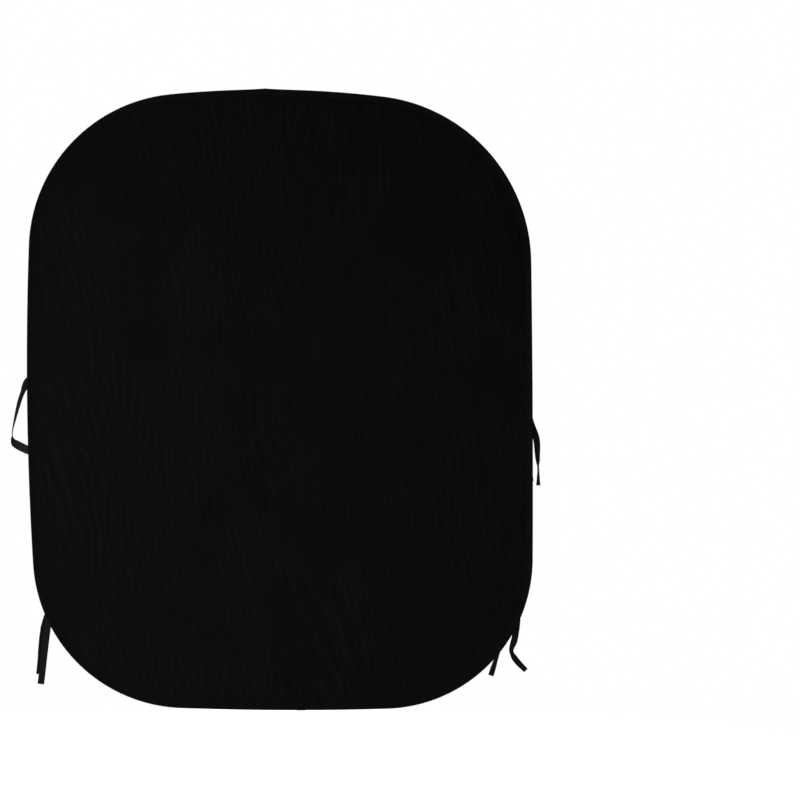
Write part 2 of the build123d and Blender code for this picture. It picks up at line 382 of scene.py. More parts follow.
# Section of a ribbon's upper face: places across it as shares of its half width, and how full
# it is there.
RIBBON_SHARES = np.array([-1, -0.985, -0.9, -0.62, -0.3, 0, 0.3, 0.62, 0.9, 0.985, 1])
RIBBON_FULLNESS = np.array([0, 0.6, 1, 0.9, 0.9, 0.92, 0.9, 0.9, 1, 0.6, 0])
CUT_END_FULLNESS = 0.72
FLUTTER_LENGTHS = (23, 37, 61)
FLUTTER_START = 30


def add_object(name, data):
    """A new object in the scene."""
    made = bpy.data.objects.new(name, data)
    bpy.context.scene.collection.objects.link(made)
    return made


def make_piece(name, points, faces, corner_uvs, material, flat_faces=0):
    """A mesh object from points in millimetres. Its last flat_faces faces are shaded flat."""
    mesh = bpy.data.meshes.new(name)
    mesh.from_pydata((np.asarray(points).reshape(-1, 3) * MM).tolist(), [], faces)
    uv_layer = mesh.uv_layers.new(name="cloth")
    uv_layer.data.foreach_set("uv", np.asarray(corner_uvs, np.float32).ravel() * MM)
    smooth = np.ones(len(faces), bool)
    if flat_faces:
        smooth[-flat_faces:] = False
    mesh.polygons.foreach_set("use_smooth", smooth)
    mesh.materials.append(material)
    edit = bmesh.new()
    edit.from_mesh(mesh)
    bmesh.ops.recalc_face_normals(edit, faces=edit.faces)
    edit.to_mesh(mesh)
    edit.free()
    piece = add_object(name, mesh)
    return piece


def front_uvs(points, faces):
    """Corner UVs that are the points' own x and z."""
    return points[[corner for face in faces for corner in face]][:, [0, 2]]


def skin(rings, along, around, closed=False):
    """Faces and corner UVs over rings of points. Open skins get a cap at each end, listed last."""
    count, sides = rings.shape[:2]
    rows = np.arange(count if closed else count - 1)
    row, side = (grid.ravel() for grid in np.meshgrid(rows, np.arange(sides), indexing="ij"))
    next_row, next_side = (row + 1) % count, (side + 1) % sides
    corners = [(row, side), (row, next_side), (next_row, next_side), (next_row, side)]
    faces = np.stack([r * sides + s for r, s in corners], axis=-1).tolist()
    uv_corners = [(row, side), (row, side + 1), (row + 1, side + 1), (row + 1, side)]
    uvs = np.stack([np.stack([along[r], around[s]], axis=-1) for r, s in uv_corners], axis=1)
    uvs = uvs.reshape(-1, 2)
    if not closed:
        first = np.arange(sides)
        faces += [first[::-1].tolist(), (first + (count - 1) * sides).tolist()]
        start = np.stack([np.full(sides, along[0]), around[:-1]], axis=-1)
        end = np.stack([np.full(sides, along[-1]), around[:-1]], axis=-1)
        uvs = np.concatenate([uvs, start[::-1], end])
    return faces, uvs


def ribbon(name, rows, width, thickness, spacing, seed, flutter, material, ground=None):
    """A strip of tape along a path. Each row is x, y, z, the direction across (3), width and cup.

    Ground gives the depth of what the strip lies on, under any point, and lifts it clear.
    """
    path = smooth_path(rows, spacing)
    centre, across, wide, cup = path[:, :3], path[:, 3:6], path[:, 6], path[:, 7]
    forward = unit(np.gradient(centre, axis=0))
    across = unit(across - (across * forward).sum(axis=1, keepdims=True) * forward)
    normal = np.cross(forward, across)
    share = np.concatenate([RIBBON_SHARES, RIBBON_SHARES[-2:0:-1]])
    lift = np.concatenate([RIBBON_FULLNESS, -RIBBON_FULLNESS[-2:0:-1]]) * thickness / 2
    travelled = travel(np.linalg.norm(np.diff(centre, axis=0), axis=1))
    random = np.random.default_rng(seed)
    waves = 0
    for length in FLUTTER_LENGTHS:
        waves = waves + np.sin(2 * math.pi * travelled / length + random.uniform(0, 6.28))
    tilt = flutter * waves * ease(travelled, 0, FLUTTER_START)
    bend = cup[:, None] * (1 - share**2) + tilt[:, None] * share * 0.5
    ends = np.ones(len(path))
    ends[0] = ends[-1] = CUT_END_FULLNESS
    surface = (
        centre[:, None]
        + across[:, None] * (share * wide[:, None] / 2)[..., None]
        + normal[:, None] * bend[..., None]
    )
    if ground:
        lowest = ground(surface) + thickness / 2 + STRAP_CLEARANCE
        surface[..., DEPTH_COLUMN] = np.maximum(surface[..., DEPTH_COLUMN], lowest)
    points = surface + normal[:, None] * (lift * ends[:, None])[..., None]
    around = np.append((share + 1) / 2, 0) * width
    around[len(RIBBON_SHARES) :] = 2 * width - around[len(RIBBON_SHARES) :]
    faces, uvs = skin(points, travelled, around)
    piece = make_piece(name, points, faces, uvs, material, flat_faces=2)
    return piece, travelled[-1]


def stitches(name, node, rows, side, size, material):
    """Raised stitches on one side of the panel, each a bead of thread with pointed ends.

    Rows are pairs of the stitches' centres and their directions.
    """
    centres, directions = (np.concatenate(column) for column in zip(*rows))
    normals = np.tile([0.0, side, 0.0], (len(centres), 1))
    axes = (directions, np.cross(normals, directions), normals)
    shape = [(-0.5, 0, -0.2)]
    for position in (-0.34, 0.34):
        for turn in range(5):
            angle = 2 * math.pi * turn / 5
            shape.append((position, 0.4 * math.cos(angle), 0.8 * math.sin(angle)))
    shape.append((0.5, 0, -0.2))
    shape = np.array(shape) * size
    points = centres[:, None] + sum(
        axis[:, None] * shape[:, column, None] for column, axis in enumerate(axes)
    )
    faces = []
    last = len(shape) - 1
    for i in range(5):
        j = (i + 1) % 5
        faces += [(0, 1 + j, 1 + i), (1 + i, 1 + j, 6 + j, 6 + i), (6 + i, 6 + j, last)]
    all_faces = []
    for start in range(0, len(centres) * len(shape), len(shape)):
        all_faces += [tuple(start + corner for corner in face) for face in faces]
    points = points.reshape(-1, 3)
    uvs = front_uvs(points, all_faces)
    piece = make_piece(name, points, all_faces, uvs, material)
    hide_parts(node)
    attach(piece, "panel")


# Materials

# The share of a display tone's linear colour that a cloth or tape has, and the smaller share
# that paints shade on the upper part of the black side.
ALBEDO_SHARE = 0.8
PAINTED_SHADE_SHARE = 0.62


def tone(display, share):
    """A share of the linear colour of three display values of 0 to 255."""
    linear = []
    for value in display:
        value = value / 255
        curved = ((value + 0.055) / 1.055) ** 2.4
        linear.append(share * (value / 12.92 if value <= 0.04045 else curved))
    return (*linear, 1)


class Shader:
    """A material whose nodes are added one call at a time."""

    def __init__(self, name):
        self.material = bpy.data.materials.new(name)
        self.material.use_nodes = True
        self.tree = self.material.node_tree
        self.surface = self.tree.nodes["Principled BSDF"]
        coordinates = self.node("ShaderNodeTexCoord").outputs
        self.place, self.tape = coordinates["Object"], coordinates["UV"]

    def node(self, kind, inputs=None, **settings):
        """A new node. Inputs that are sockets are linked, and others are set."""
        made = self.tree.nodes.new(kind)
        for key, value in settings.items():
            setattr(made, key, value)
        for key, value in (inputs or {}).items():
            self.put(made.inputs[key], value)
        return made

    def put(self, socket, value):
        if isinstance(value, bpy.types.NodeSocket):
            self.tree.links.new(value, socket)
        else:
            socket.default_value = value

    def math(self, operation, first, second=0.0):
        return self.node("ShaderNodeMath", {0: first, 1: second}, operation=operation).outputs[0]

    def weighted(self, *parts):
        """The sum of some values, each times its weight."""
        total = 0.0
        for value, weight in parts:
            total = self.math("ADD", total, self.math("MULTIPLY", value, weight))
        return total

    def parts(self, coordinates):
        return self.node("ShaderNodeSeparateXYZ", {0: coordinates}).outputs

    def stretched(self, coordinates, scale=(1, 1, 1), turn=0):
        """Coordinates scaled, and turned about their third axis."""
        inputs = {"Vector": coordinates, "Scale": scale, "Rotation": (0, 0, turn)}
        return self.node("ShaderNodeMapping", inputs).outputs[0]

    def noise(self, coordinates, size, detail, roughness=0.55):
        """Noise with features of a size in millimetres."""
        inputs = {"Vector": coordinates, "Scale": 1 / (size * MM), "Detail": detail}
        inputs["Roughness"] = roughness
        return self.node("ShaderNodeTexNoise", inputs).outputs["Fac"]

    def ribs(self, coordinates, period, distortion, direction="X", detail=1.0, sweep=1.0):
        """Soft ribs a period in millimetres apart. Much distortion and detail make them wavy."""
        scale = 2 * math.pi / (20 * period * MM)
        inputs = {"Vector": coordinates, "Scale": scale, "Distortion": distortion}
        inputs.update({"Detail": detail, "Detail Scale": sweep})
        return self.node("ShaderNodeTexWave", inputs, bands_direction=direction).outputs["Fac"]

    def leaning(self, lean, stretch):
        """Coordinates in the panel's plane, sheared sideways with height and stretched up."""
        x, _, z = self.parts(self.place)
        across = self.math("ADD", x, self.math("MULTIPLY", z, lean))
        up = self.math("MULTIPLY", z, stretch)
        return self.node("ShaderNodeCombineXYZ", {0: across, 1: up}).outputs[0]

    def from_centre(self):
        """X, and the height about the panel's centre."""
        x, _, z = self.parts(self.place)
        return x, self.math("SUBTRACT", z, PANEL_CENTRE_Z * MM)

    def upper_shade_mask(self):
        """Painted shade mask: 0 below the panel's middle, rising to 1 at the top, sooner at the
        upper right.
        """
        x, height = self.from_centre()
        return self.spread(self.weighted((height, 1.0), (x, 0.3)), 0.2, 1.0)

    def top_edge_shade_mask(self):
        """Painted shade mask: 1 along the panel's top edge and upper corners, fading to 0 inwards
        and downwards.
        """
        x, height = self.from_centre()
        total = 0.0
        for value, half_size in ((x, HALF_WIDTH), (height, HALF_HEIGHT)):
            share = self.math("DIVIDE", self.math("ABSOLUTE", value), half_size * MM)
            total = self.math("ADD", self.math("POWER", share, OUTLINE_POWER), total)
        near_edge = self.spread(total, 0.5, 0.98)
        return self.math("MULTIPLY", near_edge, self.spread(height, 0.2, 0.75))

    def between(self, factor, low, high):
        """A colour between two, by a factor."""
        inputs = {0: factor, 6: low, 7: high}
        return self.node("ShaderNodeMix", inputs, data_type="RGBA").outputs[2]

    def shades(self, blend, dark, light, share=ALBEDO_SHARE):
        """A share of a colour between two display tones."""
        return self.between(blend, tone(dark, share), tone(light, share))

    def painted_shade_above(self, blend, dark, light):
        """A colour between two display tones, with painted shade darkening the panel's upper part.
        """
        lower = self.shades(blend, dark, light)
        # Painted shade: a darker copy of the colour, blended in towards the panel's top and upper
        # right.
        upper = self.shades(blend, dark, light, PAINTED_SHADE_SHARE)
        return self.between(self.upper_shade_mask(), lower, upper)

    def spread(self, value, low, high, to_low=0.0, to_high=1.0):
        """A value's range moved to another range, and held in it."""
        inputs = {0: value, 1: low, 2: high, 3: to_low, 4: to_high}
        return self.node("ShaderNodeMapRange", inputs).outputs[0]

    def finish(self, colour, height, depth, roughness, specular, sheen=0.0):
        """Wires the surface. Depth is the relief's height in millimetres."""
        relief = {"Height": height, "Distance": depth * MM}
        self.put(self.surface.inputs["Normal"], self.node("ShaderNodeBump", relief).outputs[0])
        self.put(self.surface.inputs["Base Color"], colour)
        self.put(self.surface.inputs["Roughness"], roughness)
        self.surface.inputs["Specular IOR Level"].default_value = specular
        self.surface.inputs["Sheen Weight"].default_value = sheen
        self.surface.inputs["Sheen Roughness"].default_value = 0.6
        return self.material


def black_knit():
    """Matt black warp knit: fine vertical wales, faint wavy lines like watered silk, painted shade
    at top.
    """
    shader = Shader("black_knit")
    place = shader.place
    wales = shader.ribs(place, 1.5, distortion=0.4)
    courses = shader.ribs(place, 1.1, distortion=0.6, direction="Z")
    streaks = shader.noise(shader.stretched(place, (1, 1, 0.03)), 5, detail=4)
    clouds = shader.noise(place, 160, detail=2)
    watered = shader.ribs(shader.leaning(0.22, 0.4), 24, 62, detail=5.0, sweep=0.15)
    crossed = shader.ribs(shader.leaning(-0.1, 0.3), 11, 45, detail=5.0, sweep=0.09)
    patches = shader.spread(shader.noise(place, 330, detail=1), 0.36, 0.6, 0.3, 1.0)
    lines = shader.math("MULTIPLY", shader.spread(watered, 0.55, 1.0), patches)
    blend = shader.weighted(
        (streaks, 0.3), (clouds, 0.35), (lines, 0.17), (crossed, 0.08), (wales, 0.05)
    )
    # Painted shade darkens the colour towards the panel's top and upper right.
    colour = shader.painted_shade_above(shader.spread(blend, 0.26, 0.78), (6, 6, 6), (15, 15, 15))
    height = shader.weighted((wales, courses), (streaks, 0.5))
    roughness = shader.spread(clouds, 0.3, 0.7, 0.86, 0.96)
    return shader.finish(colour, height, 0.12, roughness, specular=0.03)


def grey_weave():
    """Mid-grey plain-weave cloth, faintly mottled, with painted shade along its top edge and upper
    corners.
    """
    shader = Shader("grey_weave")
    place = shader.place
    warp = shader.ribs(place, 1.2, distortion=0.5)
    weft = shader.ribs(place, 1.2, distortion=0.5, direction="Z")
    slubs = shader.noise(shader.stretched(place, (1, 1, 0.05)), 3.5, detail=3)
    fleck = shader.noise(place, 4, detail=5, roughness=0.7)
    clouds = shader.noise(place, 210, detail=2)
    blend = shader.weighted((clouds, 0.4), (fleck, 0.36), (slubs, 0.24))
    blend = shader.spread(blend, 0.3, 0.7)
    unshaded_cloth = shader.shades(blend, (104, 104, 107), (115, 115, 117))
    shaded = shader.shades(blend, (88, 88, 90), (97, 97, 99))
    # Painted shade along the top edge and upper corners.
    colour = shader.between(shader.top_edge_shade_mask(), unshaded_cloth, shaded)
    height = shader.weighted((warp, weft), (fleck, 0.5))
    roughness = shader.spread(fleck, 0.3, 0.7, 0.78, 0.92)
    return shader.finish(colour, height, 0.1, roughness, specular=0.1, sheen=0.05)


def binding_twill():
    """Twill tape, charcoal on the grey side and black on the black side, whose upper part has
    painted shade.
    """
    shader = Shader("binding_twill")
    tape = shader.tape
    ribs = shader.ribs(shader.stretched(tape, turn=math.radians(52)), 1.5, distortion=0.5)
    threads = shader.ribs(tape, 0.9, distortion=0.3, direction="Y")
    fleck = shader.noise(tape, 3.0, detail=5, roughness=0.7)
    clouds = shader.noise(shader.stretched(tape, (0.25, 1, 1)), 16, detail=3)
    grey_side = shader.spread(shader.parts(shader.place)[1], -1 * MM, 1 * MM)
    blend = shader.weighted((fleck, 0.4), (clouds, 0.35), (ribs, 0.25))
    blend = shader.spread(blend, 0.3, 0.72)
    grey = shader.shades(blend, (37, 40, 39), (53, 56, 55))
    # Painted shade darkens the black side towards the panel's top and upper right.
    black = shader.painted_shade_above(blend, (5, 5, 5), (12, 12, 12))
    colour = shader.between(grey_side, black, grey)
    height = shader.weighted((ribs, threads), (fleck, 0.5))
    roughness = shader.spread(clouds, 0.3, 0.7, 0.66, 0.86)
    return shader.finish(colour, height, 0.16, roughness, specular=0.03)


def black_tape(name, period, dark, light, specular, share=ALBEDO_SHARE):
    """Woven black tape: a herringbone of two slants, in stripes along the tape."""
    shader = Shader(name)
    tape = shader.tape
    left, right = (
        shader.ribs(shader.stretched(tape, turn=math.radians(slant)), period, distortion=0.3)
        for slant in (38, -38)
    )
    stripe = shader.math("PINGPONG", shader.parts(tape)[1], 2.5 * MM)
    side = shader.spread(stripe, 1.1 * MM, 1.4 * MM)
    chevrons = shader.node("ShaderNodeMix", {0: side, 2: left, 3: right}).outputs[0]
    fleck = shader.noise(tape, 1.8, detail=4, roughness=0.7)
    clouds = shader.noise(tape, 22, detail=2)
    blend = shader.weighted((chevrons, 0.4), (fleck, 0.3), (clouds, 0.3))
    colour = shader.shades(shader.spread(blend, 0.28, 0.75), dark, light, share)
    height = shader.weighted((chevrons, 1.0), (fleck, 0.5))
    roughness = shader.spread(clouds, 0.3, 0.7, 0.6, 0.8)
    return shader.finish(colour, height, 0.14, roughness, specular)


def thread_material(name, dark, light, specular):
    """Twisted polyester sewing thread."""
    shader = Shader(name)
    twist = shader.ribs(shader.stretched(shader.place, turn=0.6), 0.35, distortion=1.0)
    fleck = shader.noise(shader.place, 6, detail=2)
    colour = shader.shades(shader.weighted((twist, 0.5), (fleck, 0.5)), dark, light)
    roughness = shader.spread(fleck, 0.3, 0.7, 0.55, 0.7)
    return shader.finish(colour, twist, 0.05, roughness, specular)


def steel(name, dark, light, rough_low, rough_high):
    """Drawn steel with fine lines along it and faint stains."""
    shader = Shader(name)
    lines = shader.noise(shader.stretched(shader.place, (1, 14, 1)), 9, detail=4)
    stains = shader.noise(shader.place, 40, detail=3)
    colour = shader.shades(shader.spread(stains, 0.3, 0.7), dark, light, share=1.0)
    roughness = shader.spread(lines, 0.3, 0.7, rough_low, rough_high)
    shader.surface.inputs["Metallic"].default_value = 1.0
    return shader.finish(colour, lines, 0.02, roughness, specular=0.5)


KNIT = black_knit()
GREY = grey_weave()
TWILL = binding_twill()
TAPE = black_tape("tie_tape", 1.1, (9, 9, 10), (22, 22, 23), 0.05)
WEBBING = black_tape("webbing", 1.7, (11, 11, 12), (27, 27, 28), 0.1)
THREAD = thread_material("grey_side_thread", (16, 17, 17), (32, 33, 33), 0.12)
DARK_THREAD = thread_material("black_side_thread", (4, 4, 4), (13, 13, 13), 0.03)
SPRING_STEEL = steel("blued_spring_steel", (52, 56, 66), (96, 98, 104), 0.28, 0.45)
SPLICE_STEEL = steel("plated_steel", (150, 150, 148), (190, 190, 186), 0.25, 0.4)
WRAP = black_tape("wrap_tape", 0.8, (24, 24, 24), (44, 44, 44), 0.2, share=1.0)


# Cloths

# Rings of the mesh near the edge, as insets, and then as shares of the way to the middle.
FINE_INSETS = (CLOTH_INSET, 15, 22, 24, 27, 31, 36, 42, 48, 54, 60, 66, 72)
MIDDLE_INSETS = range(79, 200, 7)
INNER_SHARES = (0.06, 0.12, 0.19, 0.26, 0.34, 0.42, 0.5, 0.58, 0.66, 0.74, 0.82, 0.9, 0.96)
BACK_INSETS = (30, 90)
BACK_SHARES = (0.2, 0.6)
FINE_SPOKES = 1440

# Cloth relief in millimetres.
LOFT = 4.0
BILLOW = 1.3
BILLOW_LENGTHS = (1300, 900, 700, 520, 410, 330, 260)
LOWEST = -0.35
FOLD_BOW = 14
PULL_DEPTH = 2.4
DIMPLE_DEPTH = 1.2
PUCKER_START = 20
PUCKER_REACH = 230


def edge_ring(count, inset):
    """A ring of the cloth: its lengths along the rim, flat points and insets."""
    along = np.arange(count) * RIM_LENGTH / count
    edge, inward = rim(along)
    return along, edge + inward * inset, np.full(count, float(inset))


def ring_faces(outer, outer_count, inner, inner_count):
    """Faces between two rings of points, the inner with as many points or half as many."""
    faces = []
    for i in range(inner_count):
        j = (i + 1) % inner_count
        if inner_count == outer_count:
            faces.append((outer + i, outer + j, inner + j, inner + i))
        else:
            a, b, c = outer + 2 * i, outer + 2 * i + 1, outer + (2 * i + 2) % outer_count
            faces += [(a, b, inner + i), (b, c, inner + j, inner + i)]
    return faces


def disc_faces(rings, first, outer_ring=()):
    """Faces over rings of points in order from the first, and over the middle point after them.

    An outer ring that is there already is given as its first point and count.
    """
    spans = [outer_ring] if outer_ring else []
    for ring in rings:
        spans.append((first, len(ring[0])))
        first += len(ring[0])
    faces = []
    for outer, inner in zip(spans, spans[1:]):
        faces += ring_faces(*outer, *inner)
    start, count = spans[-1]
    return faces + [(start + i, start + (i + 1) % count, first) for i in range(count)]


def cloth_rings(insets, middle_insets, shares):
    """Rings from the edge in, with half and then a quarter as many points further in."""
    rings = [edge_ring(FINE_SPOKES, inset) for inset in insets]
    rings += [edge_ring(FINE_SPOKES // 2, inset) for inset in middle_insets]
    along, start, last = edge_ring(FINE_SPOKES // 4, rings[-1][2][0])
    for share in shares:
        flat = start * (1 - share) + MIDDLE * share
        rings.append((along, flat, last + share * np.linalg.norm(start - MIDDLE, axis=1)))
    return rings


def puckers(along, inset, seed, count, strength):
    """Fine gathers square to the binding, fading inwards."""
    random = np.random.default_rng(seed)
    total = np.zeros_like(along)
    rise, near = ease(inset, PUCKER_START, 30), inset < PUCKER_REACH
    for _ in range(count):
        place = random.uniform(0, RIM_LENGTH)
        width = random.uniform(4, 10)
        length = random.uniform(22, 85) * random.uniform(0.7, 1.4)
        slant = random.normal(0, 0.16)
        height = random.uniform(0.25, 1.0) * strength(place)
        gap = rim_gap(along[near], place + slant * inset[near])
        fade = bump(inset[near] - PUCKER_START, length)
        total[near] += height * bump(gap, width * (1 + inset[near] / 90)) * fade
    return total * rise


def corner_folds(along, inset, folds):
    """Long soft folds that run beside the rim and bow away from it at their ends."""
    total = np.zeros_like(along)
    for x, height_at, fold_inset, half_length, half_width, height in folds:
        gap = rim_gap(along, along_at(x, height_at))
        bowed = fold_inset + FOLD_BOW * (gap / half_length) ** 2
        total += height * bump(gap, half_length) * bump(inset - bowed, half_width)
    return total


def pulls(along, inset, seed, places):
    """Dimples with short rays where a tie or strap is sewn through."""
    random = np.random.default_rng(seed)
    total = np.zeros_like(along)
    for place in places:
        across, inwards = rim_gap(along, place), inset - BINDING_WIDTH
        reach = np.hypot(across, inwards)
        angle = np.arctan2(across, inwards + 6)
        rays = np.sin(angle * random.integers(7, 10) + random.uniform(0, 6))
        total += PULL_DEPTH * ease(reach, 3, 16) * bump(reach, 46) * rays * ease(inwards, 0, 8)
        total -= DIMPLE_DEPTH * bump(across, 11) * bump(inwards, 26) * ease(inwards, 0, 5)
    return total


def billow(flat, seed):
    """Broad slack in the cloth."""
    random = np.random.default_rng(seed)
    total = np.zeros(flat.shape[:-1])
    for length in BILLOW_LENGTHS:
        angle = random.uniform(0, math.pi)
        phase = flat @ np.array([math.cos(angle), math.sin(angle)]) / length * 2 * math.pi
        total += length / BILLOW_LENGTHS[0] * np.sin(phase + random.uniform(0, 6.28))
    return total / 2


HANDLE_ROOTS = [along_at(-754, 50), along_at(-754, -147)]
SEWN_PLACES = list(TIE_ALONG.values()) + HANDLE_ROOTS


def edge_strength(seed, everywhere, top):
    """How strongly the edge is gathered at a place: more at the top and in the corners."""
    mottle = np.random.default_rng(seed).uniform(0, 6.28, 3)

    def strength(place):
        x, height = rim(place)[0]
        turns = 2 * math.pi * place / RIM_LENGTH
        uneven = 1 + 0.45 * math.sin(5 * turns + mottle[0]) + 0.3 * math.sin(11 * turns + mottle[1])
        high = ease(height, 200, 800)
        corner = ease(abs(x) / 720 + abs(height) / 880, 1.15, 1.45)
        return uneven * (everywhere + top * high + 0.35 * corner)

    return strength


def cloth(colour, side, seed, folds, strength, count, material):
    """One cloth: a fully modelled face and a plain back, joined at the edge inside the binding."""
    face_rings = cloth_rings(FINE_INSETS, MIDDLE_INSETS, INNER_SHARES)
    along, flat, inset = (np.concatenate(columns) for columns in zip(*face_rings))
    relief = LOFT * ease(inset, BINDING_WIDTH, 210)
    relief += BILLOW * billow(flat, seed) * ease(inset, 40, 320)
    relief += puckers(along, inset, seed + 1, count, strength)
    relief += corner_folds(along, inset, folds) * ease(inset, BINDING_WIDTH, 34)
    relief += pulls(along, inset, seed + 2, SEWN_PLACES)
    relief = np.maximum(relief, LOWEST)
    middle_relief = LOFT + BILLOW * billow(MIDDLE[None], seed)
    back_rings = cloth_rings((), BACK_INSETS, BACK_SHARES)
    back = np.concatenate([*(ring[1] for ring in back_rings), MIDDLE[None]])
    points = [
        to_row(flat, side * (CLOTH_FACE + relief)),
        to_row(MIDDLE[None], side * (CLOTH_FACE + middle_relief)),
        to_row(back, side * CLOTH_BACK),
    ]
    faces = disc_faces(face_rings, 0)
    faces += disc_faces(back_rings, len(flat) + 1, outer_ring=(0, FINE_SPOKES))
    points = np.concatenate(points)
    node = f"{colour}_cloth"
    name = f"{colour}_fabric"
    piece = make_piece(name, points, faces, front_uvs(points, faces), material)
    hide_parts(node)
    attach(piece, "panel")


# Folds beside the rim: x, height, inset, half length, half width, and how high the fold is.
BLACK_FOLDS = [
    (560, 640, 46, 140, 10, 5.0),
    (545, 655, 72, 170, 11, 8.0),
    (570, 630, 98, 160, 11, 8.0),
    (540, 655, 125, 130, 12, 7.0),
    (520, 670, 154, 90, 13, 5.0),
    (-560, 640, 60, 120, 13, 1.6),
    (-590, 600, 86, 90, 12, 1.2),
    (700, 480, 60, 80, 12, 6.5),
    (690, 490, 36, 60, 8, 4.0),
    (-700, 480, 40, 70, 9, 2.6),
    (-560, -740, 70, 130, 16, 0.9),
    (560, -740, 64, 130, 15, 1.0),
]
GREY_FOLDS = [
    (-560, 660, 52, 160, 13, 1.8),
    (-540, 670, 92, 150, 17, 1.4),
    (300, 880, 48, 120, 12, 0.8),
    (-300, 880, 44, 130, 12, 0.9),
    (580, 640, 60, 140, 15, 1.0),
    (560, -740, 66, 140, 16, 0.7),
]


# Edge binding

# Section of the tape over the hoop, from the flange round to the fold, as inset and depth.
OUTER_SECTION = [
    (22.0, 1.2), (21.8, 1.58), (20.6, 1.7), (19.5, 1.58), (19.0, 1.38), (18.5, 1.58),
    (17.2, 1.78), (15.4, 2.15), (13.0, 2.95), (10.4, 3.95), (8.0, 4.9), (6.0, 5.55),
    (4.4, 5.85), (2.9, 5.85), (1.6, 5.45), (0.7, 4.6), (0.2, 3.2), (0.0, 1.5),
]
INNER_SECTION = [
    (0.8, 1.5), (1.1, 3.6), (1.9, 4.8), (4.6, 5.05),
    (8.6, 3.9), (13.4, 2.1), (16.4, 0.9), (21.9, 0.84),
]
RIM_STEPS = 1450
# The tape's unevenness, as shortest and longest wavelength and the seed of its grey side.
GATHERS = (9, 60, 31)
WAVES = (14, 90, 33)
WANDER = (30, 400, 35)
SPLICE_REACH = 52
SPLICE_BULGE = 0.75
PEAK_REACH = 34
PEAK_HEIGHT = 2.6
TIE_LIFT = 2.0


def binding_shape(along, inset, depth):
    """The tape's gathers, its bulge over the splice and its lift over each tie's fold."""
    along, inset, depth = np.broadcast_arrays(along, inset, depth)
    grey = depth > 0
    slope, flange = bump(inset - 11, 7), ease(inset, 15, 19)
    gathers, waves, wander = (
        np.where(grey, rim_noise(along, *lengths, seed), rim_noise(along, *lengths, seed + 1))
        for *lengths, seed in (GATHERS, WAVES, WANDER)
    )
    from_splice = rim_gap(along, SPLICE_ALONG)
    splice = bump(from_splice, SPLICE_REACH) ** 2
    deeper = 0.2 * gathers * slope + 0.16 * (1 + waves) * flange
    deeper = deeper + SPLICE_BULGE * splice * ease(-inset, -14, -5)
    for place in TIE_ALONG.values():
        lift = ease(-np.abs(rim_gap(along, place)), -19, -9) * ease(inset, 8, 17)
        deeper = deeper + np.where(grey, TIE_LIFT * lift, 0)
    peak = PEAK_HEIGHT * np.exp(-np.abs(from_splice) / PEAK_REACH) * ease(-inset, -18, -3)
    bigger = 0.35 * splice * ease(-inset, -3, -1)
    shaped_inset = inset - peak - bigger + 0.3 * wander * ease(inset, 17, BINDING_WIDTH)
    return shaped_inset, depth + np.sign(depth) * deeper


def section(pairs):
    """A list of inset and depth pairs as two arrays."""
    pairs = np.array(pairs, float)
    return pairs[:, 0], pairs[:, 1]


def mirrored(pairs):
    """The same section on the panel's black side, in the other order."""
    return [(inset, -depth) for inset, depth in pairs[::-1]]


def binding():
    """The folded tape, swept round the rim."""
    outside = OUTER_SECTION + mirrored(OUTER_SECTION)
    inset, depth = section(outside + mirrored(INNER_SECTION) + INNER_SECTION)
    along = np.arange(RIM_STEPS) * RIM_LENGTH / RIM_STEPS
    shaped = binding_shape(along[:, None], inset[None], depth[None])
    rings = from_rim(np.broadcast_to(along[:, None], shaped[0].shape), *shaped)
    around = travel(np.hypot(np.diff(inset, append=inset[0]), np.diff(depth, append=depth[0])))
    faces, uvs = skin(rings, np.append(along, RIM_LENGTH), around, closed=True)
    piece = make_piece("binding_tape", rings, faces, uvs, TWILL)
    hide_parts("edge_binding")
    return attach(piece, "panel")


def lap_rise(along):
    """Height of the tape's upper end over its lower one, at places along the rim."""
    inside = LAP_LENGTH / 2 - np.abs(rim_gap(along, LAP_ALONG))
    return LAP_THICKNESS * ease(inside, -0.8, 0.8)


def binding_lap():
    """The short overlap where the tape's two ends meet at the bottom."""
    inset, depth = section(OUTER_SECTION + mirrored(OUTER_SECTION))
    heading = unit(np.stack([np.gradient(inset), np.gradient(depth)], axis=-1))
    out_inset, out_depth = heading[:, 1], -heading[:, 0]
    along = LAP_ALONG + np.linspace(-0.5, 0.5, LAP_ROWS) * (LAP_LENGTH + LAP_MARGIN)
    rings = []
    for place, rise in zip(along, lap_rise(along)):
        heights = (rise, -LAP_EMBEDDED)
        over, under = ((inset + out_inset * high, depth + out_depth * high) for high in heights)
        ring = [np.concatenate([upper, lower[::-1]]) for upper, lower in zip(over, under)]
        rings.append(from_rim(np.full(len(ring[0]), place), *binding_shape(place, *ring)))
    rings = np.array(rings)
    around = travel(np.linalg.norm(np.diff(rings[0], axis=0, append=rings[0][:1]), axis=1))
    faces, uvs = skin(rings, along, around)
    piece = make_piece("binding_lap", rings, faces, uvs, TWILL, flat_faces=2)
    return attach(piece, "panel")


def seam(colour, side, material):
    """One side's row of stitches along the flange."""
    count = int(RIM_LENGTH / SEAM_PITCH)
    random = np.random.default_rng(61 + side)
    along = (np.arange(count) + random.uniform(-0.06, 0.06, count)) * RIM_LENGTH / count
    inset = SEAM_INSET + random.normal(0, 0.08, count)
    centres = from_rim(along, *binding_shape(along, inset, side * (SEAM_Y + lap_rise(along))))
    inward = rim(along)[1]
    turned = random.normal(0.1, 0.05, count)[:, None]
    rows = [(centres, to_direction(unit(clockwise(inward) + inward * turned)))]
    name, node = f"seam_stitches_{colour}", f"seam_thread_{colour}"
    stitches(name, node, rows, side, SEAM_STITCH, material)


